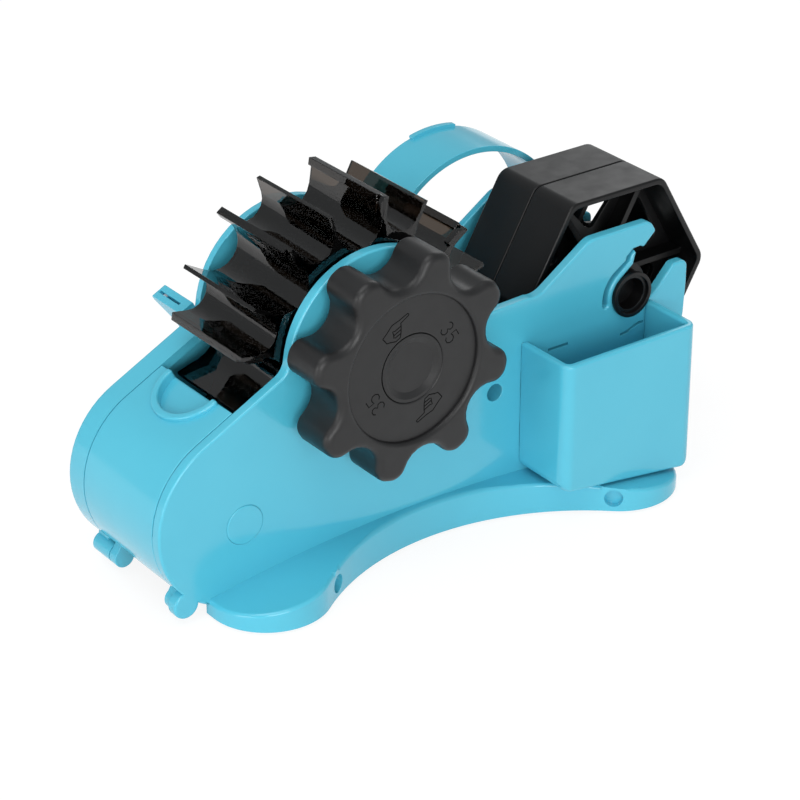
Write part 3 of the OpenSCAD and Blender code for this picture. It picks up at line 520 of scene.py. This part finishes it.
NUMBER = [
    [(-3.0, 1.7), (-2.4, 2.3), (-1.5, 2.3), (-0.8, 1.7), (-0.8, 0.8), (-1.6, 0.1), (-0.7, -0.6),
     (-0.7, -1.6), (-1.4, -2.3), (-2.4, -2.3), (-3.1, -1.6)],
    [(2.9, 2.3), (0.9, 2.3), (0.7, 0.2), (1.4, 0.5), (2.3, 0.4), (3.0, -0.4), (2.9, -1.5),
     (2.2, -2.3), (1.2, -2.3), (0.5, -1.7)],
]
HAND = [
    [(-5.4, 0.5), (-3.8, 0.8), (-0.7, 1.7), (1.8, 1.1), (5.2, 0.7), (5.5, 0.2), (5.2, -0.1),
     (1.9, -0.1), (1.5, -0.9), (0.9, -1.9), (0.2, -2.9), (-0.7, -3.9), (-2.5, -3.8),
     (-4.2, -2.4), (-5.1, -1.9), (-5.4, 0.5)],
    [(1.5, -0.9), (-1.0, -0.7), (-1.7, -0.2), (-1.9, -1.2), (-2.4, -2.4)],
    [(0.9, -1.9), (-1.9, -1.6)],
    [(0.2, -2.9), (-2.1, -2.6)],
]


def engraved(name, strokes, x, z, lean):
    """Engraved marks on the dial, drawn as nearly flush strokes painted near black as the shade of
    their grooves, turned by lean degrees.
    """
    outline = bpy.data.curves.new(name, "CURVE")
    outline.dimensions = "3D"
    outline.bevel_depth = 0.19 * MM
    outline.bevel_resolution = 1
    outline.use_fill_caps = True
    for stroke in strokes:
        line = outline.splines.new("POLY")
        line.points.add(len(stroke) - 1)
        for point, (u, v) in zip(line.points, stroke):
            point.co = (u * MM, v * MM, 0.0, 1.0)
    piece = bpy.data.objects.new(name, outline)
    bpy.context.scene.collection.objects.link(piece)
    only(piece)
    bpy.ops.object.convert(target="MESH")
    piece = bpy.context.object
    stand = Matrix.Rotation(math.radians(90), 4, "X") @ Matrix.Rotation(math.radians(lean), 4, "Z")
    flat = Matrix.Diagonal((1.0, 1.0, 0.25, 1.0))
    piece.matrix_world = Matrix.Translation(spot(x, DIAL_FACE, z)) @ stand @ flat
    # the strokes' near-black finish is painted shade of the engraved grooves
    settle(piece, GROOVE_SHADE_BLACK, "wheel")


for side, sign in (("upper", 1.0), ("lower", -1.0)):
    turn = 90.0 - 90.0 * sign
    engraved("dial_number_" + side, NUMBER, 13.5 * sign, 7.7 * sign, turn - 60.3)
    engraved("dial_pointer_" + side, HAND, -6.0 * sign, 15.1 * sign, turn + 32.0)


# Screws with cross recesses


def cross_recess(node, heads):
    """Screws with a cross cut into each head: heads are points on the faces with
    the way out of them."""
    piece = moulded(node, 0.15, everywhere, steps=2)
    for place, outward in heads:
        for turn in (0.0, 90.0):
            bpy.ops.mesh.primitive_cube_add(size=1.0)
            wing = bpy.context.object
            wing.scale = Vector(RECESS) * MM
            wing.rotation_mode = "QUATERNION"
            quarter = Matrix.Rotation(math.radians(turn + 20.0), 4, "Z").to_quaternion()
            wing.rotation_quaternion = Vector(outward).to_track_quat("Z", "Y") @ quarter
            wing.location = place
            cut = piece.modifiers.new("cross", "BOOLEAN")
            cut.operation = "DIFFERENCE"
            cut.object = wing
            only(piece)
            bpy.ops.object.modifier_apply(modifier=cut.name)
            bpy.data.objects.remove(wing)
    smoothed(piece)


under = [(spot(x, y, -71.0), (0, 0, -1)) for x in (-34.0, 72.0) for y in (-16.1, 21.6)]
cross_recess("base_screws", under)
ears = []
for angle in (215, 262, 309):
    a, ear_r = math.radians(angle), 31.0
    x, z = RING_AXIS[0] + ear_r * math.cos(a), RING_AXIS[1] + ear_r * math.sin(a)
    ears.append((spot(x, 32.8, z), (0, 1, 0)))
cross_recess("ring_screws", ears)
wells = [(spot(WALL_SCREW_AXIS[0], -1.3, WALL_SCREW_AXIS[1]), (0, -1, 0))]
wells += [(spot(x, 6.3, -57.5), (0, 1, 0)) for x in (-20.0, 95.0)]
cross_recess("shell_screws", wells)


# Cutter: toothed blade and coiled return spring

bpy.ops.mesh.primitive_grid_add(x_subdivisions=56, y_subdivisions=1, size=1.0)
toothed_blade = bpy.context.object
toothed_blade.name = "toothed_blade"
toothed_blade.scale = (34.0 * MM, 9.0 * MM, 1.0)
bpy.ops.object.transform_apply(location=False, rotation=False, scale=True)
form = bmesh.new()
form.from_mesh(toothed_blade.data)
front = sorted((v for v in form.verts if v.co.y > 0), key=lambda v: v.co.x)
for place, vert in enumerate(front):
    if place % 2:
        vert.co.y -= 1.0 * MM
form.to_mesh(toothed_blade.data)
form.free()
plate = toothed_blade.modifiers.new("plate", "SOLIDIFY")
plate.thickness = 0.6 * MM
plate.offset = 0.0
only(toothed_blade)
bpy.ops.object.modifier_apply(modifier=plate.name)
lean = math.radians(BLADE_EDGE)
outward = Vector((math.cos(lean), 0.0, math.sin(lean)))
along = Vector((0.0, 1.0, 0.0))
turned = Matrix((along, -outward, along.cross(-outward))).transposed().to_4x4()
middle = AXLE + outward * (WHEEL_R + 1.3 + 4.5) * MM
toothed_blade.matrix_world = Matrix.Translation(middle) @ turned
settle(toothed_blade, BLADE_STEEL, "arm")
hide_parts("cutter_blade")

coil = bpy.data.curves.new("arm_spring_coil", "CURVE")
coil.dimensions = "3D"
coil.bevel_depth = 0.5 * MM
coil.bevel_resolution = 3
coil.use_fill_caps = True
wire = coil.splines.new("POLY")
turns, steps, coil_r = 4.25, 102, 3.4
wire.points.add(steps)
for i, point in enumerate(wire.points):
    a = 2 * math.pi * turns * i / steps
    x, z = ARM_AXIS[0] + coil_r * math.cos(a), ARM_AXIS[1] + coil_r * math.sin(a)
    point.co = (*spot(x, 18.3 + 3.9 * i / steps, z), 1.0)
arm_spring = bpy.data.objects.new("arm_spring_coil", coil)
bpy.context.scene.collection.objects.link(arm_spring)
only(arm_spring)
bpy.ops.object.convert(target="MESH")
arm_spring = bpy.context.object
settle(arm_spring, SPRING_STEEL, "stand")
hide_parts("arm_spring")
bpy.ops.object.shade_smooth()
moulded("blade_screws", 0.15, everywhere, steps=2)


# Floor, light and camera

bpy.ops.mesh.primitive_plane_add(size=8.0, location=(0.0, 0.0, 0.0))
floor = bpy.context.object
floor.name = "pale_floor"
paper, tree = blank("white_paper_sweep")
seen = seen_by(tree, "Is Glossy Ray", "Is Transmission Ray")
share = put(tree, "ShaderNodeMath", {0: seen, 1: 0.82}, operation="MULTIPLY").outputs[0]
matt = put(tree, "ShaderNodeBsdfDiffuse", {"Color": linear("#f2f2f2")})
glow = put(tree, "ShaderNodeEmission", {"Color": (1.0, 1.0, 1.0, 1.0), "Strength": 1.08})
close(tree, put(tree, "ShaderNodeMixShader", {0: share, 1: matt.outputs[0], 2: glow.outputs[0]}))
floor.data.materials.append(paper)

world = bpy.data.worlds.new("white_studio")
bpy.context.scene.world = world
world.use_nodes = True
tree = world.node_tree
tree.nodes.clear()
seen = seen_by(tree, "Is Transmission Ray")
plain = put(tree, "ShaderNodeBackground", {"Color": (0.95, 0.98, 1.0, 1.0), "Strength": 0.48})
white = put(tree, "ShaderNodeBackground", {"Color": (1.0, 1.0, 1.0, 1.0), "Strength": 1.0})
sky = put(tree, "ShaderNodeMixShader", {0: seen, 1: plain.outputs[0], 2: white.outputs[0]})
put(tree, "ShaderNodeOutputWorld", {"Surface": sky.outputs[0]})


def softbox(name, place, width, height, watts):
    """A soft light of the given size in metres, turned to the middle of the stand."""
    light = bpy.data.lights.new(name, "AREA")
    light.shape = "RECTANGLE"
    light.size = width
    light.size_y = height
    light.energy = watts
    lamp = bpy.data.objects.new(name, light)
    lamp.location = place
    lamp.rotation_mode = "QUATERNION"
    aim = Vector((0.0, 0.0, 0.05)) - Vector(place)
    lamp.rotation_quaternion = aim.to_track_quat("-Z", "Y")
    bpy.context.scene.collection.objects.link(lamp)


softbox("key_softbox", (-0.45, -0.2, 1.2), 0.8, 0.8, 5.0)
softbox("front_softbox", (-0.6, -1.25, 0.45), 0.9, 0.6, 9.0)
softbox("left_softbox", (-1.25, -0.25, 0.3), 0.6, 0.6, 3.5)
softbox("rear_softbox", (0.9, 0.6, 0.7), 0.6, 0.6, 2.0)

camera = bpy.data.objects.new("catalogue_camera", bpy.data.cameras.new("catalogue_camera"))
camera.data.lens = 126.93
camera.data.sensor_width = 36.0
camera.location = (-0.4704, -0.6298, 0.4482)
camera.rotation_mode = "QUATERNION"
camera.rotation_quaternion = Vector((0.5265, 0.7118, -0.4648)).to_track_quat("-Z", "Y")
bpy.context.scene.collection.objects.link(camera)
bpy.context.scene.camera = camera
bpy.context.scene.view_settings.view_transform = "Standard"
